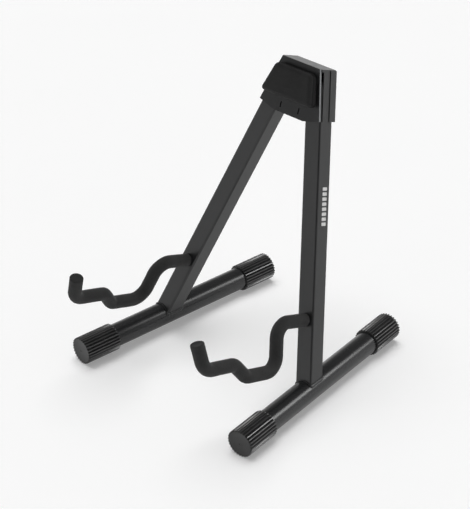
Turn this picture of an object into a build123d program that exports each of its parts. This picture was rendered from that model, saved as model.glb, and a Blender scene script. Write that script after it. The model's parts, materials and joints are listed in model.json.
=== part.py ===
from build123d import *
import os
from math import atan, atan2, cos, degrees, radians, sin, tan

os.makedirs("parts", exist_ok=True)

# Folding A-frame stand. Millimetres and degrees, +Z up, +X to the right of someone facing it.
# The origin is on the floor, under the middle of the stand's bounding box.
# The two legs lie in one raked plane. Each swings in that plane about its own bolt in the head.

# frame
rake = 20.25            # the legs' plane leans back from upright
spread = 209.0          # between the base tubes, axis to axis, where the legs meet them
pivot_spacing = 39.67   # between the two bolts the legs swing on
front_reach = 116.0     # foot, from the leg forward to the cap's end
rear_reach = 148.0      # foot, from the leg back to the cap's end

# base tubes and their rubber caps
base_tube_d = 25.0
base_tube_wall = 1.5
cap_wall = 2.5
cap_length = 42.0
cap_end = 3.0
cap_edge = 0.6
rib_count = 28
rib_groove_r = 1.3
rib_groove_depth = 1.0

# square legs
leg_width = 20.0
leg_wall = 1.5
leg_corner = 2.0
weld_size = 1.3

# cradle arms: a bent rod in the plane of its leg, sleeved in foam.
# Each point is (forward of the leg's centre, up the leg from the tube's axis).
arm_rod_d = 10.0
foam_wall = 2.1
arm_root_up = 72.5
arm_points = [(55.2, arm_root_up), (54.6, 25.0), (101.0, 24.0), (119.0, 38.0), (162.2, 36.5)]
arm_bends = [16.0, 16.0, 12.0, 12.0, 15.0]
arm_tip_point = (173.5, 64.0)
arm_toe_in = 0.7        # degrees, towards the other arm
arm_root_depth = 3.0
arm_weld = 1.5
tip_cap_depth = 6.0
tip_cap_end = 1.8

# head: front plate, rear housing, stop block between the legs, bumper pad
head_top = 316.5        # up the legs' plane from the tubes' axes
head_length = 55.2      # along the leg, down to the head's square-cut lower edge
plate_thickness = 2.5
plate_top_inset = 1.15  # the plate's top corners, inside the line of its slanted edges
plate_slot = (1.6, 6.5)
plate_slot_x = 12.0
plate_slot_drop = 47.7   # below the head's top, as are the other drops
housing_wall = 2.5
flange_thick = 1.7      # side wall of the housing, rear half
flange_thin = 0.9       # side wall of the housing, front half
flange_step = -2.5      # where the side wall gets thinner, forward of the legs' centre plane
flange_front = 8.0      # front edge of the side wall
housing_edge = 2.3
stop_gap = 0.1          # open leg to the side wall it rests on
fold_gap = 0.2          # folded leg to the stop block
pad_thickness_low = 13.5
pad_thickness_high = 10.5
pad_inset = 2.0         # from the front plate's slanted edge
pad_low_drop = 38.5
pad_high_drop = 6.0
pad_corner = 5.0
pad_edge = 1.0
pad_pocket = 0.5        # room round and over each bolt head, under the pad

# pivots
bolt_d = 6.0
bolt_head_d = 10.5
bolt_head_height = 3.3
bolt_socket = 4.0
bolt_socket_depth = 2.0
pivot_clearance = 0.05  # bolt in its bush, radial
hole_clearance = 0.2    # bolt in the plates, radial
bush_wall = 1.0
washer_thickness = 1.0
washer_d = 16.0
washer_gap = 0.1        # leg to its thrust washer
knuckle_gap = 0.4       # how far the rounded leg top stays inside the leg's own width
knuckle_room = 6.0      # leg top to the housing's roof
plug_length = 34.0
nut_width = 10.0
nut_height = 6.0
nut_collar = 1.6
nut_collar_inset = 0.6
steel_washer_d = 12.0
steel_washer_thickness = 1.6
bolt_proud = 1.5

# screws through the plates into the stop block
screw_d = 4.0
screw_length = 12.0
screw_head_d = 7.4
screw_head_height = 2.4
screw_cross_length = 3.8
screw_cross_width = 0.9
screw_cross_depth = 1.4
housing_screw_drops = [46.5, 24.5]
plate_screw_drops = [33.5, 15.5]
stop_block_drop = 52.5
stop_block_edge = 1.0

# derived sizes
cap_r = base_tube_d / 2 + cap_wall
foam_r = arm_rod_d / 2 + foam_wall
half_spread = spread / 2
head_half = leg_width / 2 + washer_thickness + washer_gap
knuckle_r = leg_width / 2 - knuckle_gap
pivot_up = head_top - housing_wall - knuckle_room - knuckle_r
pivot_x = pivot_spacing / 2
# An open leg leans in from the plane's centre line by this much, and folds back by as much.
lean = degrees(atan((half_spread - pivot_x) / pivot_up))
pivot_along = pivot_up / cos(radians(lean))
head_skirt = head_top / cos(radians(lean)) - head_length
plate_slot_up = head_top - plate_slot_drop
pad_low = head_top - pad_low_drop
pad_high = head_top - pad_high_drop
housing_screw_up = [head_top - drop for drop in housing_screw_drops]
plate_screw_up = [head_top - drop for drop in plate_screw_drops]
stop_half = pivot_x - leg_width / 2 - fold_gap
plate_offset = leg_width / 2 + stop_gap + flange_thin
plate_edge_out = plate_offset / cos(radians(lean)) - plate_top_inset
plate_top_half = half_spread - head_top * tan(radians(lean)) + plate_edge_out

# Folded, both base tubes lie in planes parallel to YZ. Opened by the lean angle about an axis
# square to the raked plane, they come level only at this one toe-out angle.
fold_dip = atan(tan(radians(rake)) / cos(radians(lean)))
splay = degrees(atan2(
    sin(fold_dip) * sin(radians(lean)),
    cos(fold_dip) * cos(radians(rake)) + sin(fold_dip) * cos(radians(lean)) * sin(radians(rake)),
))

# The leg meets its tube this far behind the origin, which centres the box on it.
front_extent = (
    arm_tip_point[0] * cos(radians(rake)) * cos(radians(arm_toe_in))
    - arm_tip_point[1] * sin(radians(rake)) * cos(radians(lean))
    + foam_r
)
rear_extent = rear_reach * cos(radians(splay)) + cap_r * sin(radians(splay))
joint_y = (front_extent - rear_extent) / 2

# Raked plane through the middle of both legs: x across, y up the rake, z forward.
rake_plane = Plane(
    origin=(0, joint_y, cap_r),
    x_dir=(1, 0, 0),
    z_dir=(0, -cos(radians(rake)), sin(radians(rake))),
)
forward = rake_plane.z_dir


class Side:
    # Planes of one leg. side is 1 for the right leg and -1 for the left.
    def __init__(self, name, side):
        self.name = name
        foot = rake_plane.from_local_coords(Vector(side * half_spread, 0, 0))
        across = rake_plane.x_dir * cos(radians(lean)) + rake_plane.y_dir * side * sin(radians(lean))
        up_leg = rake_plane.y_dir * cos(radians(lean)) - rake_plane.x_dir * side * sin(radians(lean))
        along_tube = Vector(-side * sin(radians(splay)), cos(radians(splay)), 0)
        along_arm = forward * cos(radians(arm_toe_in)) - across * side * sin(radians(arm_toe_in))
        self.section = Plane(origin=foot, x_dir=across, z_dir=up_leg)
        self.face = Plane(origin=foot, x_dir=across, z_dir=forward)
        self.arm = Plane(origin=foot, x_dir=along_arm, z_dir=along_arm.cross(up_leg))
        self.arm_root = Plane(origin=foot + up_leg * arm_root_up, x_dir=up_leg, z_dir=along_arm)
        self.tube = Plane(origin=foot, x_dir=(0, 0, 1), z_dir=along_tube)
        self.tube_back = Plane(origin=foot, x_dir=(0, 0, 1), z_dir=along_tube * -1)


def save(piece, label):
    piece.part.label = label
    export_step(piece.part, f"parts/{label}.step")


def across_leg(offset, along):
    # Point beside the right leg in the raked plane: offset outward from its centre, along it.
    x = half_spread - along * sin(radians(lean)) + offset * cos(radians(lean))
    return (x, along * cos(radians(lean)) + offset * sin(radians(lean)))


def edge_x(offset, up):
    # Where a line beside the right leg, offset outward from its centre, crosses a height.
    return half_spread - up * tan(radians(lean)) + offset / cos(radians(lean))


def plate_edge_x(up):
    # Half width of the front plate at a height on its slanted edges.
    low_x, low_up = across_leg(plate_offset, head_skirt)
    return plate_top_half + (low_x - plate_top_half) * (head_top - up) / (head_top - low_up)


def mirrored(points):
    return points + [(-x, y) for x, y in reversed(points)]


def head_outline(offset, top_half=None):
    return mirrored([
        (top_half or edge_x(offset, head_top), head_top),
        across_leg(offset, head_skirt),
        across_leg(-leg_width / 2, head_skirt),
    ])


def leg_square(inset, mode=Mode.ADD):
    RectangleRounded(leg_width - 2 * inset, leg_width - 2 * inset, leg_corner - inset, mode=mode)


def leg_envelope(side):
    # Keeps what lies below the pivot, and above it only a half disc about the pivot.
    with BuildSketch(side.face) as envelope:
        with Locations((0, pivot_along)):
            Rectangle(2 * leg_width, 2 * pivot_along, align=(Align.CENTER, Align.MAX))
            Circle(knuckle_r)
    extrude(envelope.sketch, amount=leg_width, both=True, mode=Mode.INTERSECT)


def pivot_hole(side, radius):
    with BuildSketch(side.face) as hole:
        with Locations((0, pivot_along)):
            Circle(radius)
    extrude(hole.sketch, amount=leg_width, both=True, mode=Mode.SUBTRACT)


def arm_path(side, start, end):
    with BuildLine(side.arm) as path:
        FilletPolyline((start, arm_root_up), *arm_points, end, radius=arm_bends)
    return path.line


def arm_end(back):
    # Point on the last straight run, this far back from the tip.
    last = Vector(*arm_points[-1])
    tip = Vector(*arm_tip_point)
    point = tip - (tip - last).normalized() * back
    return (point.X, point.Y)


# pieces of each leg

def make_base_tube(side):
    with BuildPart() as base_tube:
        with BuildSketch(side.tube.offset(cap_end - front_reach)):
            Circle(base_tube_d / 2)
            Circle(base_tube_d / 2 - base_tube_wall, mode=Mode.SUBTRACT)
        extrude(amount=front_reach + rear_reach - 2 * cap_end)
    save(base_tube, f"{side.name}_base_tube")


def make_foot_cap(plane, label):
    # The plane lies on the cap's closed end and faces along the tube.
    with BuildPart() as foot_cap:
        with BuildSketch(plane):
            Circle(cap_r)
        extrude(amount=cap_length)
        fillet(foot_cap.edges().filter_by(GeomType.CIRCLE), cap_edge)
        with BuildSketch(plane):
            with PolarLocations(cap_r + rib_groove_r - rib_groove_depth, rib_count, 180 / rib_count):
                Circle(rib_groove_r)
        extrude(amount=cap_length, mode=Mode.SUBTRACT)
        with BuildSketch(plane.offset(cap_end)):
            Circle(base_tube_d / 2)
        extrude(amount=cap_length, mode=Mode.SUBTRACT)
    save(foot_cap, label)


def make_leg_tube(side):
    with BuildPart() as leg_tube:
        with BuildSketch(side.section):
            leg_square(0)
            leg_square(leg_wall, Mode.SUBTRACT)
        extrude(amount=pivot_along + leg_width)
        leg_envelope(side)
        # notch over the tube, with nothing left below the tube's axis
        with BuildSketch(side.tube):
            Circle(base_tube_d / 2)
            Rectangle(leg_width, 2 * leg_width, align=(Align.MAX, Align.CENTER))
        extrude(amount=2 * leg_width, both=True, mode=Mode.SUBTRACT)
        with BuildSketch(side.arm_root):
            Circle(arm_rod_d / 2)
        extrude(amount=leg_width, mode=Mode.SUBTRACT)
        pivot_hole(side, bolt_d / 2 + pivot_clearance + bush_wall)
    save(leg_tube, f"{side.name}_leg_tube")


def make_leg_weld(side):
    # Bead in the corner all round the leg, where its end is notched over the tube.
    with BuildPart() as leg_weld:
        with BuildSketch(side.section.offset(weld_size)):
            leg_square(-weld_size)
            leg_square(0, Mode.SUBTRACT)
        extrude(amount=leg_width)
        with BuildSketch(side.tube) as outer:
            Circle(base_tube_d / 2 + weld_size)
        extrude(outer.sketch, amount=2 * leg_width, both=True, mode=Mode.INTERSECT)
        with BuildSketch(side.tube) as inner:
            Circle(base_tube_d / 2)
        extrude(inner.sketch, amount=2 * leg_width, both=True, mode=Mode.SUBTRACT)
    save(leg_weld, f"{side.name}_leg_weld")


def make_leg_plug(side):
    with BuildPart() as leg_plug:
        with BuildSketch(side.section.offset(pivot_along + knuckle_r - plug_length)):
            leg_square(leg_wall)
        extrude(amount=plug_length)
        leg_envelope(side)
        pivot_hole(side, bolt_d / 2 + pivot_clearance + bush_wall)
    save(leg_plug, f"{side.name}_leg_plug")


def make_pivot_bush(side):
    with BuildPart() as pivot_bush:
        with BuildSketch(side.face.offset(-leg_width / 2)):
            with Locations((0, pivot_along)):
                Circle(bolt_d / 2 + pivot_clearance + bush_wall)
                Circle(bolt_d / 2 + pivot_clearance, mode=Mode.SUBTRACT)
        extrude(amount=leg_width)
    save(pivot_bush, f"{side.name}_pivot_bush")


def make_arm_rod(side):
    path = arm_path(side, leg_width / 2 - leg_wall - arm_root_depth, arm_end(tip_cap_end))
    with BuildPart() as arm_rod:
        with BuildSketch(Plane(origin=path @ 0, z_dir=path % 0)):
            Circle(arm_rod_d / 2)
        sweep(path=path)
    save(arm_rod, f"{side.name}_arm_rod")


def make_arm_weld(side):
    with BuildPart() as weld:
        with BuildSketch(side.arm):
            with BuildLine():
                Polyline(
                    (leg_width / 2 - arm_weld, arm_root_up + arm_rod_d / 2),
                    (leg_width / 2 - arm_weld, arm_root_up + arm_rod_d / 2 + arm_weld),
                    (leg_width / 2, arm_root_up + arm_rod_d / 2 + arm_weld),
                    (leg_width / 2 + arm_weld, arm_root_up + arm_rod_d / 2),
                    close=True,
                )
            make_face()
        revolve(axis=Axis(side.arm_root.origin, side.arm_root.z_dir))
        split(bisect_by=side.face.offset(leg_width / 2), keep=Keep.TOP)
    save(weld, f"{side.name}_arm_weld")


def make_arm_foam(side):
    path = arm_path(side, leg_width / 2 + arm_weld, arm_end(tip_cap_depth))
    with BuildPart() as arm_foam:
        with BuildSketch(Plane(origin=path @ 0, z_dir=path % 0)):
            Circle(foam_r)
            Circle(arm_rod_d / 2, mode=Mode.SUBTRACT)
        sweep(path=path)
    save(arm_foam, f"{side.name}_arm_foam")


def make_arm_tip(side):
    # Cap over the rod's end, flush with the foam.
    tip = side.arm.from_local_coords(Vector(*arm_tip_point, 0))
    base = side.arm.from_local_coords(Vector(*arm_end(tip_cap_depth), 0))
    with BuildPart() as arm_tip:
        with BuildSketch(Plane(origin=base, z_dir=tip - base)):
            Circle(foam_r)
        extrude(amount=tip_cap_depth)
        fillet(arm_tip.edges().filter_by(GeomType.CIRCLE).sort_by(Axis(base, tip - base))[-1], cap_edge)
        with BuildSketch(Plane(origin=base, z_dir=tip - base)):
            Circle(arm_rod_d / 2)
        extrude(amount=tip_cap_depth - tip_cap_end, mode=Mode.SUBTRACT)
    save(arm_tip, f"{side.name}_arm_tip")


# pieces of the head

def pivot_spots(radius, height, depth, mode=Mode.ADD, inner=0.0):
    # A disc or ring on each pivot, from one distance forward of the centre plane, this deep.
    with BuildSketch(rake_plane.offset(height)) as spots:
        with Locations((pivot_x, pivot_up), (-pivot_x, pivot_up)):
            Circle(radius)
            if inner > 0:
                Circle(inner, mode=Mode.SUBTRACT)
    extrude(spots.sketch, amount=depth, mode=mode)


def screw_holes(heights, radius, height, depth):
    with BuildSketch(rake_plane.offset(height)) as holes:
        with Locations(*[(0, up) for up in heights]):
            Circle(radius)
    extrude(holes.sketch, amount=depth, mode=Mode.SUBTRACT)


def make_front_plate():
    with BuildPart() as front_plate:
        with BuildSketch(rake_plane.offset(head_half)):
            with BuildLine():
                Polyline(*head_outline(plate_offset, plate_top_half), close=True)
            make_face()
            with Locations((plate_slot_x, plate_slot_up), (-plate_slot_x, plate_slot_up)):
                SlotOverall(plate_slot[1], plate_slot[0], rotation=90, mode=Mode.SUBTRACT)
        extrude(amount=plate_thickness)
        pivot_spots(bolt_d / 2 + hole_clearance, head_half, plate_thickness, Mode.SUBTRACT)
        with Locations(rake_plane.offset(head_half + plate_thickness)):
            with Locations(*[(0, up, 0) for up in plate_screw_up]):
                CounterSinkHole(screw_d / 2, screw_head_d / 2, depth=plate_thickness, counter_sink_angle=90)
    save(front_plate, "front_plate")


def make_bumper_pad():
    low_x = plate_edge_x(pad_low) - pad_inset
    high_x = plate_edge_x(pad_high) - pad_inset
    base = head_half + plate_thickness
    front = Plane(
        origin=rake_plane.from_local_coords(Vector(0, pad_low, base + pad_thickness_low)),
        x_dir=(1, 0, 0),
        z_dir=forward * (pad_high - pad_low) + rake_plane.y_dir * (pad_thickness_low - pad_thickness_high),
    )
    with BuildPart() as bumper_pad:
        with BuildSketch(rake_plane.offset(base)) as outline:
            with BuildLine():
                Polyline(*mirrored([(high_x, pad_high), (low_x, pad_low)]), close=True)
            make_face()
            fillet(outline.vertices(), pad_corner)
        extrude(amount=pad_thickness_low)
        split(bisect_by=front, keep=Keep.BOTTOM)
        fillet(bumper_pad.faces().sort_by(Axis((0, 0, 0), forward))[-1].edges(), pad_edge)
        pivot_spots(bolt_head_d / 2 + pad_pocket, base, bolt_head_height + pad_pocket, Mode.SUBTRACT)
    save(bumper_pad, "bumper_pad")


def make_rear_housing():
    back = -head_half - housing_wall
    inner = leg_width / 2 + stop_gap
    with BuildPart() as rear_housing:
        # solid block: thick-walled rear half, thinner-walled front half
        with BuildSketch(rake_plane.offset(back)):
            with BuildLine():
                Polyline(*head_outline(inner + flange_thick), close=True)
            make_face()
        extrude(amount=flange_step - back)
        top_edges = rear_housing.edges().filter_by(Axis((0, 0, 0), forward)).group_by(Axis.Z)[-1]
        fillet(top_edges, housing_edge)
        fillet(rear_housing.faces().sort_by(Axis((0, 0, 0), forward))[0].edges(), housing_edge)
        with BuildSketch(rake_plane.offset(flange_step)):
            with BuildLine():
                Polyline(*head_outline(inner + flange_thin), close=True)
            make_face()
        extrude(amount=head_half - flange_step)
        # room for the legs, open at the bottom and at the front
        with BuildSketch(rake_plane.offset(-head_half)):
            with BuildLine():
                Polyline(*mirrored([
                    (edge_x(inner, head_top - housing_wall), head_top - housing_wall),
                    across_leg(inner, head_skirt - leg_width),
                ]), close=True)
            make_face()
        extrude(amount=2 * head_half, mode=Mode.SUBTRACT)
        # side walls stop short of the front plate, below the roof
        with BuildSketch(rake_plane.offset(flange_front)):
            with Locations((0, head_top - housing_wall)):
                Rectangle(spread, head_top, align=(Align.CENTER, Align.MAX))
        extrude(amount=head_half, mode=Mode.SUBTRACT)
        pivot_spots(bolt_d / 2 + hole_clearance, back, housing_wall, Mode.SUBTRACT)
        screw_holes(housing_screw_up, screw_d / 2 + hole_clearance, back, housing_wall)
    save(rear_housing, "rear_housing")


def make_stop_block():
    with BuildPart() as stop_block:
        with BuildSketch(rake_plane.offset(-head_half)):
            with Locations((0, head_top - stop_block_drop)):
                Rectangle(2 * stop_half, stop_block_drop - housing_wall, align=(Align.CENTER, Align.MIN))
        extrude(amount=2 * head_half)
        fillet(stop_block.edges().filter_by(Axis((0, 0, 0), forward)), stop_block_edge)
        screw_holes(housing_screw_up, screw_d / 2, -head_half, screw_length)
        screw_holes(plate_screw_up, screw_d / 2, head_half - screw_length, screw_length)
    save(stop_block, "stop_block")


def make_pivot_bolts():
    front = head_half + plate_thickness
    shank = 2 * head_half + plate_thickness + housing_wall + steel_washer_thickness + nut_height + bolt_proud
    with BuildPart() as pivot_bolts:
        pivot_spots(bolt_d / 2, front - shank, shank)
        pivot_spots(bolt_head_d / 2, front, bolt_head_height)
        heads = pivot_bolts.faces().sort_by(Axis((0, 0, 0), forward))[-2:]
        fillet(heads.edges(), bolt_head_height / 2)
        with BuildSketch(rake_plane.offset(front + bolt_head_height)):
            with Locations((pivot_x, pivot_up), (-pivot_x, pivot_up)):
                RegularPolygon(bolt_socket / 2, 6, major_radius=False)
        extrude(amount=-bolt_socket_depth, mode=Mode.SUBTRACT)
    save(pivot_bolts, "pivot_bolts")


def make_thrust_washers():
    bore = bolt_d / 2 + pivot_clearance
    with BuildPart() as thrust_washers:
        pivot_spots(washer_d / 2, head_half - washer_thickness, washer_thickness, inner=bore)
        pivot_spots(washer_d / 2, -head_half, washer_thickness, inner=bore)
    save(thrust_washers, "thrust_washers")


def make_steel_washers():
    seat = -head_half - housing_wall - steel_washer_thickness
    with BuildPart() as steel_washers:
        pivot_spots(steel_washer_d / 2, seat, steel_washer_thickness, inner=bolt_d / 2 + hole_clearance)
    save(steel_washers, "steel_washers")


def make_pivot_nuts():
    seat = -head_half - housing_wall - steel_washer_thickness
    with BuildPart() as pivot_nuts:
        with BuildSketch(rake_plane.offset(seat)):
            with Locations((pivot_x, pivot_up), (-pivot_x, pivot_up)):
                RegularPolygon(nut_width / 2, 6, major_radius=False)
        extrude(amount=nut_collar - nut_height)
        pivot_spots(nut_width / 2 - nut_collar_inset, seat - nut_height, nut_collar)
        pivot_spots(bolt_d / 2, seat - nut_height, nut_height, Mode.SUBTRACT)
    save(pivot_nuts, "pivot_nuts")


def make_housing_screws():
    seat = -head_half - housing_wall
    with BuildPart() as housing_screws:
        with BuildSketch(rake_plane.offset(seat)):
            with Locations(*[(0, up) for up in housing_screw_up]):
                Circle(screw_head_d / 2)
        extrude(amount=-screw_head_height)
        heads = housing_screws.faces().sort_by(Axis((0, 0, 0), forward))[:2]
        fillet(heads.edges(), screw_head_height / 2)
        with BuildSketch(rake_plane.offset(seat - screw_head_height)):
            with Locations(*[(0, up) for up in housing_screw_up]):
                Rectangle(screw_cross_length, screw_cross_width)
                Rectangle(screw_cross_width, screw_cross_length)
        extrude(amount=screw_cross_depth, mode=Mode.SUBTRACT)
        with BuildSketch(rake_plane.offset(seat)):
            with Locations(*[(0, up) for up in housing_screw_up]):
                Circle(screw_d / 2)
        extrude(amount=screw_length + housing_wall)
    save(housing_screws, "housing_screws")


def make_plate_screws():
    # Countersunk heads, flush with the plate and hidden by the pad.
    face = head_half + plate_thickness
    sink = (screw_head_d - screw_d) / 2
    with BuildPart() as plate_screws:
        with BuildSketch(rake_plane.offset(face)):
            with Locations(*[(0, up) for up in plate_screw_up]):
                Circle(screw_head_d / 2)
        extrude(amount=-sink, taper=45)
        with BuildSketch(rake_plane.offset(face - sink)):
            with Locations(*[(0, up) for up in plate_screw_up]):
                Circle(screw_d / 2)
        extrude(amount=sink - screw_length)
    save(plate_screws, "plate_screws")


for side in (Side("right", 1), Side("left", -1)):
    make_base_tube(side)
    make_foot_cap(side.tube.offset(-front_reach), f"{side.name}_front_foot_cap")
    make_foot_cap(side.tube_back.offset(-rear_reach), f"{side.name}_rear_foot_cap")
    make_leg_tube(side)
    make_leg_weld(side)
    make_leg_plug(side)
    make_pivot_bush(side)
    make_arm_rod(side)
    make_arm_weld(side)
    make_arm_foam(side)
    make_arm_tip(side)

make_front_plate()
make_bumper_pad()
make_rear_housing()
make_stop_block()
make_pivot_bolts()
make_thrust_washers()
make_steel_washers()
make_pivot_nuts()
make_housing_screws()
make_plate_screws()
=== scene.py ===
import json
import math

import bpy
from mathutils import Matrix, Vector


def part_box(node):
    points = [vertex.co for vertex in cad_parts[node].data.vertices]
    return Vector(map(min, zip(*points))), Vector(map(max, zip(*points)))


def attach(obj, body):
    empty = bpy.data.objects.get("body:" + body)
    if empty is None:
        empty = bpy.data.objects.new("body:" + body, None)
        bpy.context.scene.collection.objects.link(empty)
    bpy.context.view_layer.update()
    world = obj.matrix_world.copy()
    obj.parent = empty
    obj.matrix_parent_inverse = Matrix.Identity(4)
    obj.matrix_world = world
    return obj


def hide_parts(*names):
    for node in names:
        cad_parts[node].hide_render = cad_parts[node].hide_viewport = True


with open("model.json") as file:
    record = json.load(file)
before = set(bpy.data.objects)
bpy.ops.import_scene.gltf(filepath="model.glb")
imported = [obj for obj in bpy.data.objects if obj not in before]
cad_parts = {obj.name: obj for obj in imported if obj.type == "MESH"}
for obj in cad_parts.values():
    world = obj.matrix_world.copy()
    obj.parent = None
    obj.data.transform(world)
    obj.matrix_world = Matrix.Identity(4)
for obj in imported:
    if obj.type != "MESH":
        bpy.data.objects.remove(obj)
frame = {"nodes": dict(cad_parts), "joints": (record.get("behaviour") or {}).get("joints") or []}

scene = bpy.context.scene
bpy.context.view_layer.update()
nodes = frame["nodes"]
mm = 0.001
print("frame loaded:", len(nodes), "parts")


# shader helpers

class Wire:
    # One socket. Sums, products and comparisons of wires add Math nodes.
    def __init__(self, tree, socket):
        self.tree = tree
        self.socket = socket

    def math(self, operation, first, second):
        node = self.tree.nodes.new("ShaderNodeMath")
        node.operation = operation
        for entry, value in zip(node.inputs, (first, second)):
            plug(self.tree, entry, value)
        return Wire(self.tree, node.outputs[0])

    def __add__(self, other):
        return self.math("ADD", self, other)

    def __radd__(self, other):
        return self.math("ADD", other, self)

    def __sub__(self, other):
        return self.math("SUBTRACT", self, other)

    def __rsub__(self, other):
        return self.math("SUBTRACT", other, self)

    def __mul__(self, other):
        return self.math("MULTIPLY", self, other)

    def __rmul__(self, other):
        return self.math("MULTIPLY", other, self)

def plug(tree, entry, value):
    if isinstance(value, Wire):
        tree.links.new(value.socket, entry)
    else:
        entry.default_value = value


class Bench:
    # Nodes of one material or surround, all added through one method.
    def __init__(self, tree):
        self.tree = tree

    def add(self, kind, settings=None, sockets=None, output=0):
        node = self.tree.nodes.new(kind)
        for name, value in (settings or {}).items():
            setattr(node, name, value)
        for name, value in (sockets or {}).items():
            plug(self.tree, node.inputs[name], value)
        return Wire(self.tree, node.outputs[output])


class Finish(Bench):
    # A material under construction. Its patterns lie on the piece's own Object coordinates.
    def __init__(self, name):
        self.material = bpy.data.materials.new(name)
        self.material.use_nodes = True
        super().__init__(self.material.node_tree)
        self.shader = self.tree.nodes["Principled BSDF"]
        self.place = self.add("ShaderNodeTexCoord", output="Object")

    def noise(self, grain, detail=2.0, roughness=0.5, stretch=None):
        # grain is the size of the pattern's features, in metres
        place = self.place
        if stretch:
            place = self.add("ShaderNodeMapping", None, {"Vector": place, "Scale": stretch})
        sockets = {"Vector": place, "Scale": 1 / grain, "Detail": detail, "Roughness": roughness}
        return self.add("ShaderNodeTexNoise", None, sockets, "Fac")

    def cells(self, grain, feature="F1"):
        sockets = {"Vector": self.place, "Scale": 1 / grain}
        return self.add("ShaderNodeTexVoronoi", {"feature": feature}, sockets, "Distance")

    def ramp(self, wire, low, high, start=0.0, end=1.0):
        sockets = {"Value": wire, "From Min": low, "From Max": high, "To Min": start, "To Max": end}
        return self.add("ShaderNodeMapRange", {"clamp": True}, sockets, "Result")

    def tint(self, factor, first, second):
        return self.add("ShaderNodeMix", {"data_type": "RGBA"}, {"Factor": factor, 6: first, 7: second}, 2)

    def bump(self, height, depth, strength=1.0, below=None):
        sockets = {"Height": height, "Distance": depth, "Strength": strength}
        if below:
            sockets["Normal"] = below
        return self.add("ShaderNodeBump", None, sockets, "Normal")

    def finish(self, sockets):
        for name, value in sockets.items():
            plug(self.tree, self.shader.inputs[name], value)
        return self.material


def grey(level, warm=0.0):
    return (level * (1 + warm), level, level * (1 - warm), 1)


# finishes

paintLook = {"dark": 0.0125, "light": 0.019, "roughness": 0.3, "peel": 1.1 * mm, "dust": 0.35 * mm}


def powderPaint(name, look):
    # Satin powder coat: soft orange peel, a few handling marks, fine dust in the film.
    f = Finish(name)
    cloud = f.noise(22 * mm, 3)
    peel = f.noise(look["peel"], 1.5)
    dust = f.noise(look["dust"], 1)
    scuff = f.ramp(f.noise(9 * mm, 6, 0.75, (1, 1, 0.35)), 0.62, 0.72)
    tone = f.tint(cloud, grey(look["dark"], -0.03), grey(look["light"], -0.03))
    speck = f.ramp(dust, 0.66, 0.8)
    tone = f.tint(speck * 0.25, tone, grey(0.09, -0.02))
    rough = look["roughness"] + (cloud - 0.5) * 0.1 + scuff * 0.1
    soft = f.bump(peel, 0.05 * mm, 0.55)
    return f.finish({
        "Base Color": tone,
        "Roughness": rough,
        "Normal": f.bump(dust, 0.012 * mm, 0.6, soft),
        "Specular IOR Level": look.get("gloss", 0.5),
    })


foamLook = {"dark": 0.013, "light": 0.028, "cell": 0.55 * mm, "skin": 2.4 * mm}


def foamSkin(name, look):
    # Closed-cell foam: small open pores over a slightly uneven skin, with painted shade darkening the
    # pits.
    f = Finish(name)
    pores = f.ramp(f.cells(look["cell"]), 0.05, 0.6)
    skin = f.noise(look["skin"], 4, 0.6)
    blotch = f.noise(14 * mm, 2)
    # the pores are painted darker than the skin: painted shade in the pits
    tone = f.tint(pores, grey(look["dark"]), grey(look["light"]))
    tone = f.tint(f.ramp(blotch, 0.4, 0.75) * 0.35, tone, grey(look["light"] * 1.35, 0.02))
    uneven = f.bump(skin, 0.16 * mm, 0.5)
    return f.finish({
        "Base Color": tone,
        "Roughness": 0.82 + (skin - 0.5) * 0.2,
        "Normal": f.bump(pores, 0.07 * mm, 0.7, uneven),
        "Specular IOR Level": 0.28,
        "Sheen Weight": 0.06,
        "Sheen Roughness": 0.5,
    })


padLook = {"dark": 0.016, "light": 0.023, "grain": 0.5 * mm, "roughness": 0.62, "gloss": 0.2}
capLook = {"dark": 0.016, "light": 0.028, "grain": 0.35 * mm, "roughness": 0.46, "gloss": 0.45}
# the crests get a lighter tone than the cap: a painted highlight
crestHighlightLook = {"dark": 0.03, "light": 0.05, "grain": 0.35 * mm, "roughness": 0.24, "gloss": 1.0}
grooveLook = {"dark": 0.015, "light": 0.028, "grain": 0.35 * mm, "roughness": 0.6, "gloss": 0.2}
tipLook = {"dark": 0.016, "light": 0.03, "grain": 0.45 * mm, "roughness": 0.7, "gloss": 0.3}


def mouldedRubber(name, look):
    # Moulded rubber: spark-eroded grain, a faint bloom, a little pale dust.
    f = Finish(name)
    grain = f.noise(look["grain"], 3, 0.6)
    bloom = f.noise(16 * mm, 4, 0.6)
    dust = f.ramp(f.noise(0.9 * mm, 2, 0.5), 0.7, 0.8)
    tone = f.tint(f.ramp(bloom, 0.3, 0.7), grey(look["dark"]), grey(look["light"]))
    tone = f.tint(dust * 0.3, tone, grey(0.12, 0.03))
    rough = look["roughness"] + (bloom - 0.5) * 0.16
    wave = f.bump(bloom, 0.2 * mm, 0.25)
    return f.finish({
        "Base Color": tone,
        "Roughness": rough,
        "Normal": f.bump(grain, 0.05 * mm, 0.6, wave),
        "Specular IOR Level": look["gloss"],
    })


shellLook = {"dark": 0.015, "light": 0.022, "grain": 0.42 * mm, "roughness": 0.34}


def mouldedPlastic(name, look):
    # Injection-moulded shell: fine leather-like grain, faint flow marks along its length.
    f = Finish(name)
    grain = f.cells(look["grain"], "SMOOTH_F1")
    flow = f.noise(7 * mm, 3, 0.6, (1, 1, 0.2))
    tone = f.tint(f.ramp(flow, 0.3, 0.7), grey(look["dark"], -0.03), grey(look["light"], -0.03))
    rough = look["roughness"] + (flow - 0.5) * 0.14
    return f.finish({
        "Base Color": tone,
        "Roughness": rough,
        "Normal": f.bump(grain, 0.03 * mm, 0.45),
        "Specular IOR Level": 0.5,
    })


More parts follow.
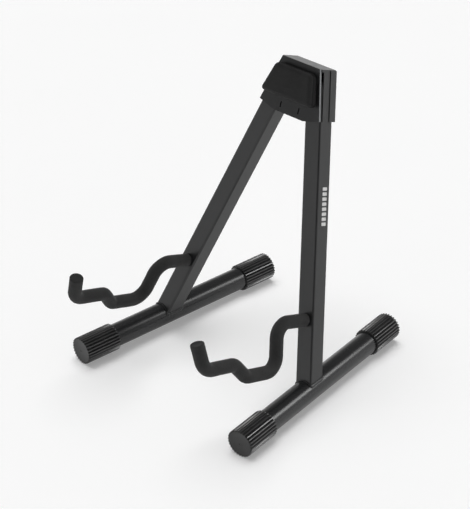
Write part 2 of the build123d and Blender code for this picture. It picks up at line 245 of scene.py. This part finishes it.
def metal(name, tone, roughness, wear):
    # Turned and plated hardware: fine tool marks and darker, rougher patches.
    f = Finish(name)
    marks = f.noise(0.5 * mm, 2, 0.6, (1, 1, 6))
    patch = f.noise(3.5 * mm, 4, 0.6)
    shade = f.tint(f.ramp(patch, 0.45, 0.7), grey(tone, 0.01), grey(tone * wear, 0.03))
    return f.finish({
        "Base Color": shade,
        "Roughness": roughness + (patch - 0.5) * 0.25,
        "Metallic": 1.0,
        "Normal": f.bump(marks, 0.02 * mm, 0.5),
    })


def nylon(name, tone):
    # Natural or dyed nylon: slightly cloudy, with a waxy moulded skin.
    f = Finish(name)
    cloud = f.noise(5 * mm, 3)
    shade = f.tint(cloud, grey(tone, 0.04), grey(tone * 0.8, 0.06))
    return f.finish({
        "Base Color": shade,
        "Roughness": 0.42 + (cloud - 0.5) * 0.12,
        "Normal": f.bump(f.noise(0.6 * mm, 2), 0.03 * mm, 0.4),
    })


def screenInk(name):
    # White screen print: slightly thin ink, with pinholes where the paint shows through.
    f = Finish(name)
    thin = f.noise(1.8 * mm, 4, 0.6)
    holes = f.ramp(f.noise(0.35 * mm, 2), 0.68, 0.74)
    shade = f.tint(f.ramp(thin, 0.35, 0.75), grey(0.86, 0.01), grey(0.66, 0.01))
    shade = f.tint(holes, shade, grey(0.08))
    return f.finish({
        "Base Color": shade,
        "Roughness": 0.5 + (thin - 0.5) * 0.2,
        "Normal": f.bump(thin, 0.02 * mm, 0.4),
    })


finishes = {
    "paint": powderPaint("satinPowderCoat", paintLook),
    "tubePaint": powderPaint("tubePowderCoat", dict(paintLook, roughness=0.25)),
    "platePaint": powderPaint("platePowderCoat", dict(paintLook, roughness=0.42, gloss=0.35)),
    # light grey paint for the plate's edges: a painted highlight along them
    "edgeHighlightPaint": powderPaint("paintedEdgeHighlight", dict(paintLook, dark=0.24, light=0.3, roughness=0.3)),
    "rod": powderPaint("rodPaint", dict(paintLook, light=0.03, roughness=0.4)),
    "foam": foamSkin("foamSleeve", foamLook),
    "pad": mouldedRubber("padRubber", padLook),
    # a darker copy of the pad rubber for the pad's sides: painted shade
    "padSideShade": mouldedRubber("padSideRubber", dict(padLook, dark=0.007, light=0.011, gloss=0.1)),
    "cap": mouldedRubber("footRubber", capLook),
    "crest": mouldedRubber("crestHighlightRubber", crestHighlightLook),
    "groove": mouldedRubber("grooveRubber", grooveLook),
    "tip": mouldedRubber("tipRubber", tipLook),
    "shell": mouldedPlastic("housingShell", shellLook),
    "bolt": metal("blackOxideSteel", 0.06, 0.38, 0.6),
    "zinc": metal("zincPlate", 0.62, 0.3, 0.75),
    "blackNylon": nylon("blackNylon", 0.02),
    "whiteNylon": nylon("naturalNylon", 0.62),
    "ink": screenInk("whiteInk"),
}
print("finishes made:", len(finishes))


# the stand's own planes

joints = {joint["child"]: joint for joint in frame["joints"]}
footRadius = (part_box("right_front_foot_cap")[1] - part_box("right_front_foot_cap")[0]).z / 2


def axes(x, y, z, origin):
    return Matrix.Translation(origin) @ Matrix((x, y, z)).transposed().to_4x4()


class Leg:
    # Directions and places of one leg, read from its fold joint and its caps.
    def __init__(self, name, side):
        joint = joints[f"{name}_leg"]
        lean = math.radians(joint["range_deg"][1])
        self.name, self.side, self.body = name, side, f"{name}_leg"
        self.forward = Vector(joint["axis"]) * -side
        rakeUp = Vector((0, self.forward.z, -self.forward.y))
        across = Vector((1, 0, 0))
        self.out = (across * side * math.cos(lean) + rakeUp * math.sin(lean)).normalized()
        self.up = (rakeUp * math.cos(lean) - across * side * math.sin(lean)).normalized()
        pivot = Vector(joint["pos_m"])
        self.foot = pivot - self.up * (pivot.z - footRadius) / self.up.z
        front, rear = (centre(f"{name}_{end}_foot_cap") for end in ("front", "rear"))
        self.tube = (front - rear).normalized()


def centre(node):
    low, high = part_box(node)
    return (low + high) / 2


legs = [Leg("right", 1), Leg("left", -1)]
rakeUp = Vector((0, legs[0].forward.z, -legs[0].forward.y))
headPlane = axes(Vector((1, 0, 0)), rakeUp, legs[0].forward, (legs[0].foot + legs[1].foot) / 2)


# modelling helpers

def ready(piece=None):
    # Leaves only this piece selected and active.
    if bpy.context.object and bpy.context.object.mode == "EDIT":
        bpy.ops.object.mode_set(mode="OBJECT")
    bpy.ops.object.select_all(action="DESELECT")
    if piece:
        piece.select_set(True)
        bpy.context.view_layer.objects.active = piece


def pick(piece, kind, test):
    # Selects vertices, edges or faces in edit mode by a test on their place.
    bpy.ops.object.mode_set(mode="OBJECT")
    mesh = piece.data
    for group in (mesh.vertices, mesh.edges, mesh.polygons):
        group.foreach_set("select", [False] * len(group))
    if kind == "VERT":
        for v in mesh.vertices:
            v.select = test(v.co)
    elif kind == "EDGE":
        for e in mesh.edges:
            e.select = all(test(mesh.vertices[i].co) for i in e.vertices)
    else:
        for p in mesh.polygons:
            p.select = test(p.center, p.normal)
    bpy.ops.object.mode_set(mode="EDIT")
    bpy.ops.mesh.select_mode(type=kind)


def pickLines(piece, test):
    # Selects edges in edit mode by a test on the places of their two ends.
    bpy.ops.object.mode_set(mode="OBJECT")
    mesh = piece.data
    for group in (mesh.vertices, mesh.polygons):
        group.foreach_set("select", [False] * len(group))
    for e in mesh.edges:
        e.select = test(*(mesh.vertices[i].co for i in e.vertices))
    bpy.ops.object.mode_set(mode="EDIT")
    bpy.ops.mesh.select_mode(type="EDGE")


def modify(piece, kind, **settings):
    ready(piece)
    modifier = piece.modifiers.new(kind.lower(), kind)
    for name, value in settings.items():
        setattr(modifier, name, value)
    bpy.ops.object.modifier_apply(modifier=modifier.name)


def smooth(piece, angle):
    ready(piece)
    bpy.ops.object.shade_smooth_by_angle(angle=math.radians(angle))


def settle(piece, place):
    # Puts the mesh in its place and leaves the object itself at the origin.
    ready(piece)
    piece.matrix_world = place
    bpy.ops.object.transform_apply(location=True, rotation=True, scale=True)
    return piece


def deliver(piece, name, body, finish, slot, *replaced):
    piece.name = name
    piece.data.name = name
    if not piece.data.materials:
        piece.data.materials.append(finishes[finish])
    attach(piece, body)
    if replaced:
        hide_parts(*replaced)
    return piece


def finishSides(piece, finish, fromMiddle=0.0):
    # A second finish on the faces that stand square to the head's front: here the pad's painted shade and
    # the plate's painted edge highlight.
    piece.data.materials.append(finishes[finish])
    for face in piece.data.polygons:
        square = abs(face.normal.dot(legs[0].forward)) < 0.35
        face.material_index = int(square and abs(face.center.x) >= fromMiddle * mm)


def copyOf(piece):
    twin = piece.copy()
    twin.data = piece.data.copy()
    scene.collection.objects.link(twin)
    return twin


def benchCopy(node):
    # A welded-up copy of a part, ready to be worked on.
    source = nodes[node]
    twin = bpy.data.objects.new(node + "_work", source.data.copy())
    scene.collection.objects.link(twin)
    twin.data.materials.clear()
    ready(twin)
    bpy.ops.object.mode_set(mode="EDIT")
    bpy.ops.mesh.select_all(action="SELECT")
    bpy.ops.mesh.remove_doubles(threshold=0.002 * mm)
    bpy.ops.mesh.customdata_custom_splitnormals_clear()
    bpy.ops.mesh.dissolve_limited(angle_limit=math.radians(0.6))
    bpy.ops.object.mode_set(mode="OBJECT")
    return twin


# foam sleeves and their tips

armRoute = {
    "points": [(55.2, 72.5), (54.6, 25.0), (101.0, 24.0), (119.0, 38.0), (162.2, 36.5)],
    "bends": [16.0, 16.0, 12.0, 12.0, 15.0],
    "start": (11.5, 72.5),
    "tip": (173.5, 64.0),
    "toeIn": 0.7,
}
sleeve = {
    "radius": 7.1, "wall": 2.04, "tipDepth": 6.0, "rim": 0.5, "ringSteps": 14, "roundSteps": 9,
    "lumps": 0.32, "lumpSize": 9, "lumpLevel": 0.56,
}


def bentRoute(route, back):
    # Bezier points of the rod's line: straight runs joined by round bends.
    tip = Vector(route["tip"])
    last = Vector(route["points"][-1])
    end = tip - (tip - last).normalized() * back
    corners = [Vector(p) for p in route["points"]]
    line = [Vector(route["start"]), *corners, end]
    out = []
    for k, corner in enumerate(corners):
        before = (line[k] - corner).normalized()
        after = (line[k + 2] - corner).normalized()
        turn = math.pi - before.angle(after)
        reach = route["bends"][k] * math.tan(turn / 2)
        handle = route["bends"][k] * 4 / 3 * math.tan(turn / 4)
        out.append((corner + before * reach, None, -before * handle))
        out.append((corner + after * reach, -after * handle, None))
    return [(line[0], None, None), *out, (end, None, None)]


def makeSleeve(leg):
    ready()
    bpy.ops.curve.primitive_bezier_curve_add()
    line = bpy.context.object
    spline = line.data.splines[0]
    stops = bentRoute(armRoute, sleeve["tipDepth"])
    spline.bezier_points.add(len(stops) - 2)
    for k, (spot, arriving, leaving) in enumerate(stops):
        point = spline.bezier_points[k]
        point.handle_left_type = point.handle_right_type = "FREE"
        towards = stops[min(k + 1, len(stops) - 1)][0] - spot
        since = stops[max(k - 1, 0)][0] - spot
        point.co = (*spot * mm, 0)
        point.handle_left = (*(spot + (arriving or since / 3)) * mm, 0)
        point.handle_right = (*(spot + (leaving or towards / 3)) * mm, 0)
    line.data.dimensions = "3D"
    line.data.resolution_u = line.data.render_resolution_u = sleeve["ringSteps"]
    line.data.bevel_depth = sleeve["radius"] * mm
    line.data.bevel_resolution = sleeve["roundSteps"]
    ready(line)
    bpy.ops.object.convert(target="MESH")
    foam = bpy.context.object
    bpy.ops.object.mode_set(mode="EDIT")
    bpy.ops.mesh.select_all(action="SELECT")
    bpy.ops.mesh.remove_doubles(threshold=0.01 * mm)
    bpy.ops.mesh.normals_make_consistent(inside=False)
    bpy.ops.object.mode_set(mode="OBJECT")
    lumps = bpy.data.textures.new(f"{leg.name}FoamLumps", "CLOUDS")
    lumps.noise_scale = sleeve["lumpSize"] * mm
    lumps.noise_depth = 2
    modify(foam, "DISPLACE", texture=lumps, strength=sleeve["lumps"] * mm,
           mid_level=sleeve["lumpLevel"])
    modify(foam, "SOLIDIFY", thickness=sleeve["wall"] * mm, offset=-1, use_even_offset=True)
    modify(foam, "BEVEL", width=sleeve["rim"] * mm, segments=3, limit_method="ANGLE",
           angle_limit=math.radians(60))
    settle(foam, armPlace(leg))
    fixTurned(foam)
    smooth(foam, 45)
    deliver(foam, f"{leg.name}_foam_sleeve", leg.body, "foam", "arm_foam", f"{leg.name}_arm_foam")


def armPlace(leg):
    toe = math.radians(armRoute["toeIn"])
    along = leg.forward * math.cos(toe) - leg.out * math.sin(toe)
    return axes(along, leg.up, along.cross(leg.up), leg.foot)


def fixTurned(piece):
    # A mirrored place turns faces inwards: turn them back.
    mesh = piece.data
    mesh.calc_loop_triangles()
    spots = mesh.vertices
    volume = sum(
        spots[t.vertices[0]].co.dot(spots[t.vertices[1]].co.cross(spots[t.vertices[2]].co))
        for t in mesh.loop_triangles
    )
    if volume < 0:
        ready(piece)
        bpy.ops.object.mode_set(mode="EDIT")
        bpy.ops.mesh.select_all(action="SELECT")
        bpy.ops.mesh.flip_normals()
        bpy.ops.object.mode_set(mode="OBJECT")


tipCap = {
    "sides": 48, "edge": 0.9, "bore": 5.05, "end": 1.8,
    "rings": [(1.6, 0), (1.4, 0.25), (1.6, 0.075)],  # width and depth of the dish's steps
}


def makeTip(leg):
    # A closed cup over the rod's end, flush with the sleeve.
    radius, depth = sleeve["radius"] * mm, sleeve["tipDepth"] * mm
    ready()
    bpy.ops.mesh.primitive_cylinder_add(vertices=tipCap["sides"], radius=radius, depth=depth,
                                        location=(0, 0, depth / 2))
    tip = bpy.context.object
    bpy.ops.object.transform_apply(location=True, rotation=True, scale=True)
    pick(tip, "FACE", lambda spot, normal: normal.z < -0.9)
    bpy.ops.mesh.inset(thickness=radius - tipCap["bore"] * mm)
    bpy.ops.mesh.extrude_region_move(TRANSFORM_OT_translate={"value": (0, 0, depth - tipCap["end"] * mm)})
    pick(tip, "EDGE", lambda spot: spot.z > depth - 0.01 * mm and spot.xy.length > 0.95 * radius)
    bpy.ops.mesh.bevel(offset=tipCap["edge"] * mm, segments=5)
    pick(tip, "FACE", lambda spot, normal: normal.z > 0.99 and spot.z > 0.99 * depth)
    for width, sink in tipCap["rings"]:
        bpy.ops.mesh.inset(thickness=width * mm, depth=-sink * mm)
    bpy.ops.object.mode_set(mode="OBJECT")
    last = Vector(armRoute["points"][-1])
    end = Vector(armRoute["tip"])
    course = (end - last).normalized()
    base = (end - course * sleeve["tipDepth"]) * mm
    across = Vector((course.y, -course.x, 0))
    turn = axes(across, Vector((0, 0, -1)), Vector((*course, 0)), Vector((*base, 0)))
    settle(tip, armPlace(leg) @ turn)
    fixTurned(tip)
    smooth(tip, 40)
    deliver(tip, f"{leg.name}_sleeve_tip", leg.body, "tip", "tip_rubber", f"{leg.name}_arm_tip")


for leg in legs:
    makeSleeve(leg)
    makeTip(leg)
print("foam sleeves and tips made")


# ribbed foot caps

footCap = {
    "length": 42.0, "ribs": 28, "columns": 8, "sinks": {2: 0.9, 3: 1.35, 4: 1.5, 5: 1.35, 6: 0.9},
    "bore": 12.54, "floor": 3.0, "rim": 0.25, "rimInset": 2.1,
    "step": 0.5, "stepDepth": 0.15, "gate": 1.3, "gateEdge": 0.25, "gateDepth": 0.3,
    "grooveFrom": 13.2, "crestFrom": 14.5,
}


def makeFootCap():
    # Closed end at the origin, mouth up. Each rib has three lines of crest and five of groove.
    length, radius = footCap["length"] * mm, footRadius
    ribStep = 2 * math.pi / footCap["ribs"]
    columns = footCap["columns"]
    ready()
    bpy.ops.mesh.primitive_cylinder_add(vertices=footCap["ribs"] * columns, radius=radius, depth=length,
                                        location=(0, 0, length / 2))
    cap = bpy.context.object
    bpy.ops.object.transform_apply(location=True, rotation=True, scale=True)
    pick(cap, "FACE", lambda spot, normal: normal.z > 0.9)
    bpy.ops.mesh.inset(thickness=radius - footCap["bore"] * mm)
    depth = length - footCap["floor"] * mm
    bpy.ops.mesh.extrude_region_move(TRANSFORM_OT_translate={"value": (0, 0, -depth)})
    pick(cap, "FACE", lambda spot, normal: normal.z < -0.9 and spot.z < 0.01 * mm)
    bpy.ops.mesh.inset(thickness=footCap["rimInset"] * mm)
    bpy.ops.mesh.inset(thickness=footCap["step"] * mm, depth=-footCap["stepDepth"] * mm)
    bpy.ops.mesh.inset(thickness=radius - (footCap["rimInset"] + footCap["step"] + footCap["gate"]) * mm)
    bpy.ops.mesh.inset(thickness=footCap["gateEdge"] * mm, depth=-footCap["gateDepth"] * mm)

    def lineOf(spot):
        return round((math.atan2(spot.y, spot.x) % ribStep) / ribStep * columns) % columns

    for line, sink in footCap["sinks"].items():
        pick(cap, "VERT", lambda spot: spot.xy.length > 0.98 * radius and lineOf(spot) == line)
        shrink = 1 - sink * mm / radius
        bpy.ops.transform.resize(value=(shrink, shrink, 1), center_override=(0, 0, 0))
    for level in (0, length):
        pick(cap, "EDGE", lambda spot: abs(spot.z - level) < 0.01 * mm and spot.xy.length > 0.89 * radius)
        bpy.ops.mesh.bevel(offset=footCap["rim"] * mm, segments=2)
    bpy.ops.object.mode_set(mode="OBJECT")
    # the crests are glossier and painted lighter, a painted highlight; the grooves keep the cap's tone and
    # stay dull
    for finish in ("cap", "crest", "groove"):
        cap.data.materials.append(finishes[finish])
    for face in cap.data.polygons:
        if abs(face.normal.z) < 0.8 and face.center.xy.length > footCap["grooveFrom"] * mm:
            face.material_index = 1 if face.center.xy.length > footCap["crestFrom"] * mm else 2
    return cap


def fitFootCaps():
    master = makeFootCap()
    for leg in legs:
        for end, way in (("front", -1), ("rear", 1)):
            node = f"{leg.name}_{end}_foot_cap"
            mouthward = leg.tube * way
            seat = centre(node) - mouthward * footCap["length"] * mm / 2
            up = Vector((0, 0, 1))
            place = axes(up, mouthward.cross(up), mouthward, seat)
            cap = settle(copyOf(master), place)
            fixTurned(cap)
            smooth(cap, 30)
            deliver(cap, f"{leg.name}_{end}_cap", leg.body, "cap", "foot_rubber", node)
    bpy.data.objects.remove(master)


fitFootCaps()
print("foot caps made")


# bumper pad

bumper = {
    "lowHalf": 34.8, "highHalf": 24.84, "low": 278.0, "high": 310.5, "base": 13.6,
    "thickLow": 13.5, "thickHigh": 10.5, "blank": 1.0, "sunk": 0.25, "corner": 5.0, "edge": 1.0,
    "crown": 0.1, "crownSteps": (0.88, 0.84, 0.78, 0.7),
}


def makeBumperPad():
    # A slab on the front plate: across, up the rake, forward.
    b = bumper
    middle = (b["low"] + b["high"]) / 2 * mm
    ready()
    bpy.ops.mesh.primitive_cube_add(size=1, location=(0, middle, b["base"] * mm))
    pad = bpy.context.object
    pad.scale = (2 * b["lowHalf"] * mm, (b["high"] - b["low"]) * mm, b["blank"] * mm)
    bpy.ops.object.transform_apply(location=True, rotation=True, scale=True)
    pick(pad, "VERT", lambda spot: spot.y > middle)
    bpy.ops.transform.resize(value=(b["highHalf"] / b["lowHalf"], 1, 1), center_override=(0, 0, 0))
    for upper, thick in ((False, b["thickLow"]), (True, b["thickHigh"])):
        pick(pad, "VERT", lambda spot: (spot.y > middle) == upper and spot.z > b["base"] * mm)
        bpy.ops.transform.translate(value=(0, 0, (thick - b["blank"] / 2) * mm))
        pick(pad, "VERT", lambda spot: (spot.y > middle) == upper and spot.z < b["base"] * mm)
        bpy.ops.transform.translate(value=(0, 0, (b["blank"] / 2 - b["sunk"]) * mm))
    pickLines(pad, lambda one, two: abs(one.z - two.z) > 0.5 * b["thickHigh"] * mm)
    bpy.ops.mesh.bevel(offset=b["corner"] * mm, segments=8)
    pick(pad, "FACE", lambda spot, normal: normal.z > 0.9)
    bpy.ops.mesh.bevel(offset=b["edge"] * mm, segments=5, affect="EDGES")
    front = max(pad.data.polygons, key=lambda face: face.area).center.copy()
    pick(pad, "FACE", lambda spot, normal: (spot - front).length < 1 * mm)
    for shrink in b["crownSteps"]:
        bpy.ops.mesh.extrude_region_move(TRANSFORM_OT_translate={"value": (0, 0, b["crown"] * mm)})
        bpy.ops.transform.resize(value=(shrink, shrink, 1), center_override=front)
    bpy.ops.object.mode_set(mode="OBJECT")
    settle(pad, headPlane)
    smooth(pad, 35)
    modify(pad, "WEIGHTED_NORMAL", keep_sharp=True)
    deliver(pad, "soft_bumper", "head", "pad", "pad_rubber", "bumper_pad")
    # the pad's sides get the darker copy of its rubber: painted shade
    finishSides(pad, "padSideShade")


makeBumperPad()
print("bumper pad made")


# weld beads

bead = {"voxel": 0.38, "rounds": 6, "softness": 0.6, "ripple": 0.35, "rippleLevel": 0.4, "pitch": 1.6}


def makeBead(node, body):
    # The plain fillet becomes a laid bead: rounded over, with small ripples.
    weld = benchCopy(node)
    modify(weld, "REMESH", mode="VOXEL", voxel_size=bead["voxel"] * mm)
    modify(weld, "SMOOTH", factor=bead["softness"], iterations=bead["rounds"])
    ripples = bpy.data.textures.new(f"{node}Ripples", "CLOUDS")
    ripples.noise_scale = bead["pitch"] * mm
    modify(weld, "DISPLACE", texture=ripples, strength=bead["ripple"] * mm, mid_level=bead["rippleLevel"])
    smooth(weld, 60)
    deliver(weld, f"{node}_bead", body, "paint", "black_paint", node)


for leg in legs:
    makeBead(f"{leg.name}_leg_weld", leg.body)
    makeBead(f"{leg.name}_arm_weld", leg.body)
print("weld beads made")


# head shells with broken edges

shells = {
    "front_plate": {
        "edge": 0.3, "finish": "platePaint", "slot": "plate_paint", "piece": "front_cover_plate",
        # the plate's edge faces beyond 20 mm from the middle are painted light grey: a painted highlight
        "highlightFinish": "edgeHighlightPaint", "highlightFrom": 20,
    },
    "rear_housing": {
        "edge": 0.25, "finish": "shell", "slot": "housing_plastic", "piece": "rear_shell",
    },
}


def makeShell(node, look):
    shell = benchCopy(node)
    modify(shell, "BEVEL", width=look["edge"] * mm, segments=2, limit_method="ANGLE",
           angle_limit=math.radians(40), use_clamp_overlap=True)
    smooth(shell, 30)
    modify(shell, "WEIGHTED_NORMAL", keep_sharp=True)
    deliver(shell, look["piece"], "head", look["finish"], look["slot"], node)
    # paints the plate's edges light grey as a painted highlight
    if "highlightFinish" in look:
        finishSides(shell, look["highlightFinish"], look["highlightFrom"])


for node, look in shells.items():
    makeShell(node, look)
print("head shells made")


# printed dashes on the right leg

dashes = {
    "count": 8, "start": 170.5, "pitch": 5.1, "long": 3.5, "wide": 7.0, "ink": 0.05, "round": 0.8,
    "back": 1.5, "face": 10,  # behind the leg's centre, and out to its side wall
}


def makeDashes(leg):
    d = dashes
    ready()
    bpy.ops.mesh.primitive_cube_add(size=1)
    mark = bpy.context.object
    mark.scale = (d["ink"] * mm, d["wide"] * mm, d["long"] * mm)
    bpy.ops.object.transform_apply(location=False, rotation=False, scale=True)
    pickLines(mark, lambda one, two: abs(one.x - two.x) > 0.5 * d["ink"] * mm)
    bpy.ops.mesh.bevel(offset=d["round"] * mm, segments=4)
    bpy.ops.object.mode_set(mode="OBJECT")
    modify(mark, "ARRAY", count=d["count"], use_relative_offset=False, use_constant_offset=True,
           constant_offset_displace=(0, 0, d["pitch"] * mm))
    outward = d["face"] + d["ink"] / 2
    origin = leg.foot + leg.out * outward * mm + leg.up * d["start"] * mm - leg.forward * d["back"] * mm
    settle(mark, axes(leg.out, leg.forward * -leg.side, leg.up, origin))
    fixTurned(mark)
    smooth(mark, 30)
    deliver(mark, "leg_dashes", leg.body, "ink", "black_paint")


makeDashes(legs[0])
print("printed dashes made")


# finishes of the parts that stay

partFinish = {
    "base_tube": "tubePaint", "leg_tube": "paint", "leg_plug": "blackNylon", "pivot_bush": "whiteNylon",
    "arm_rod": "rod", "stop_block": "blackNylon", "pivot_bolts": "bolt", "thrust_washers": "whiteNylon",
    "steel_washers": "zinc", "pivot_nuts": "zinc", "housing_screws": "bolt", "plate_screws": "bolt",
}
for node, part in nodes.items():
    for ending, finish in partFinish.items():
        if node.endswith(ending):
            part.data.materials.clear()
            part.data.materials.append(finishes[finish])
print("part finishes assigned")


# floor, light, camera

studio = {
    "floorSize": 30, "floorTone": 0.8, "floorGlow": 0.3,
    "horizon": 1.0, "zenith": 0.2, "band": (0.05, 0.5),
    "viewSide": (0.55, -0.64, 0.53), "viewShade": 0.12, "shadeEdge": (0.72, 0.97),
    "sunStrength": 2.15, "sunAngle": 48, "sunFrom": (-0.22, 0.1, 0.96),
    "boxFrom": (0.579, 0.62, 0.529), "boxPower": 11, "boxSize": 0.7, "boxAway": 2.2,
}
lens = {"place": (0.99878, -1.05180, 1.01845), "tilt": 58.5897, "turn": 43.5213, "length": 117.0}


def makeFloor():
    ready()
    bpy.ops.mesh.primitive_plane_add(size=studio["floorSize"])
    floor = bpy.context.object
    floor.name = "studio_floor"
    f = Finish("paleFloor")
    tone = f.tint(f.noise(0.4, 2), grey(studio["floorTone"]), grey(studio["floorTone"] * 0.985))
    floor.data.materials.append(f.finish({
        "Base Color": tone,
        "Roughness": 0.85,
        "Specular IOR Level": 0.1,
        "Emission Color": tone,
        "Emission Strength": studio["floorGlow"],
    }))


def makeSky():
    # A pale band at the horizon, dimmer overhead, and dark behind the viewer.
    world = bpy.data.worlds.new("studioSurround")
    scene.world = world
    world.use_nodes = True
    bench = Bench(world.node_tree)
    where = bench.add("ShaderNodeTexCoord", output="Generated")

    def along(direction):
        sockets = {0: where, 1: direction}
        return bench.add("ShaderNodeVectorMath", {"operation": "DOT_PRODUCT"}, sockets, "Value")

    def fade(wire, low, high, first, last):
        sockets = {"Value": wire, "From Min": low, "From Max": high, "To Min": first, "To Max": last}
        return bench.add("ShaderNodeMapRange", {"interpolation_type": "SMOOTHSTEP"}, sockets, "Result")

    height = fade(along((0, 0, 1)), *studio["band"], studio["horizon"], studio["zenith"])
    dark = fade(along(studio["viewSide"]), *studio["shadeEdge"], 1.0, studio["viewShade"])
    sky = bench.tree.nodes["Background"]
    sky.inputs["Color"].default_value = grey(1)
    plug(bench.tree, sky.inputs["Strength"], height * dark)


def aim(thing, direction):
    thing.rotation_euler = Vector(direction).to_track_quat("Z", "Y").to_euler()


def makeLights():
    sun = bpy.data.lights.new("keyLight", "SUN")
    sun.energy = studio["sunStrength"]
    sun.angle = math.radians(studio["sunAngle"])
    key = bpy.data.objects.new("keyLight", sun)
    key.visible_glossy = False
    aim(key, studio["sunFrom"])
    box = bpy.data.lights.new("softBox", "AREA")
    box.shape = "SQUARE"
    box.size = studio["boxSize"]
    box.energy = studio["boxPower"]
    softBox = bpy.data.objects.new("softBox", box)
    softBox.visible_diffuse = False
    softBox.location = Vector(studio["boxFrom"]).normalized() * studio["boxAway"]
    aim(softBox, studio["boxFrom"])
    for light in (key, softBox):
        scene.collection.objects.link(light)


def makeCamera():
    data = bpy.data.cameras.new("camera")
    data.lens = lens["length"]
    data.sensor_width = 36
    camera = bpy.data.objects.new("camera", data)
    camera.location = lens["place"]
    camera.rotation_euler = (math.radians(lens["tilt"]), 0, math.radians(lens["turn"]))
    scene.collection.objects.link(camera)
    scene.camera = camera


makeFloor()
makeSky()
makeLights()
makeCamera()
scene.view_settings.view_transform = "Standard"
print("studio made")
